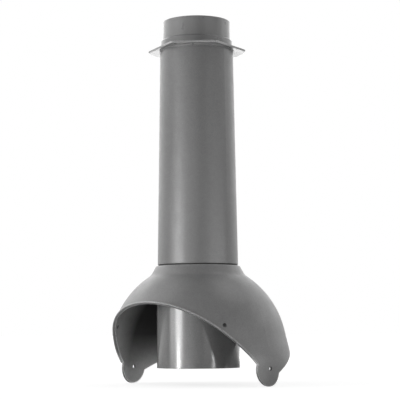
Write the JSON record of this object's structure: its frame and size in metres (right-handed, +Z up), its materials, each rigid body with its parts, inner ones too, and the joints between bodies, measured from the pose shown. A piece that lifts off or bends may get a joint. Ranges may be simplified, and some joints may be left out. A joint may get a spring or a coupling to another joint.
{
  "type": "sewer vent pipe",
  "caption": "Roof vent for a soil stack: a tapered tube with a flanged spigot on a domed saddle skirt, over a plain drain pipe end.",
  "frame": {"origin": "on the common axis, at the lower end of the plain pipe", "axes": "+Z up along the axis towards the flanged spigot, -Y towards the skirt's high arch, X through the two fixing ears"},
  "size_m": [0.2452, 0.218, 0.4867],
  "materials": {
    "pipe_grey": "extruded, glossy",
    "skirt_grey": "moulded, fine grain, satin",
    "tube_grey": "fine grain, matt",
    "spigot_grey": "moulded, half gloss",
    "seal_black": "matt"
  },
  "bodies": {
    "root": {"inlet_pipe": "pipe_grey", "roof_skirt": "skirt_grey", "joint_seal": "seal_black", "stack_tube": "tube_grey", "flanged_spigot": "spigot_grey"}
  },
  "joints": []
}
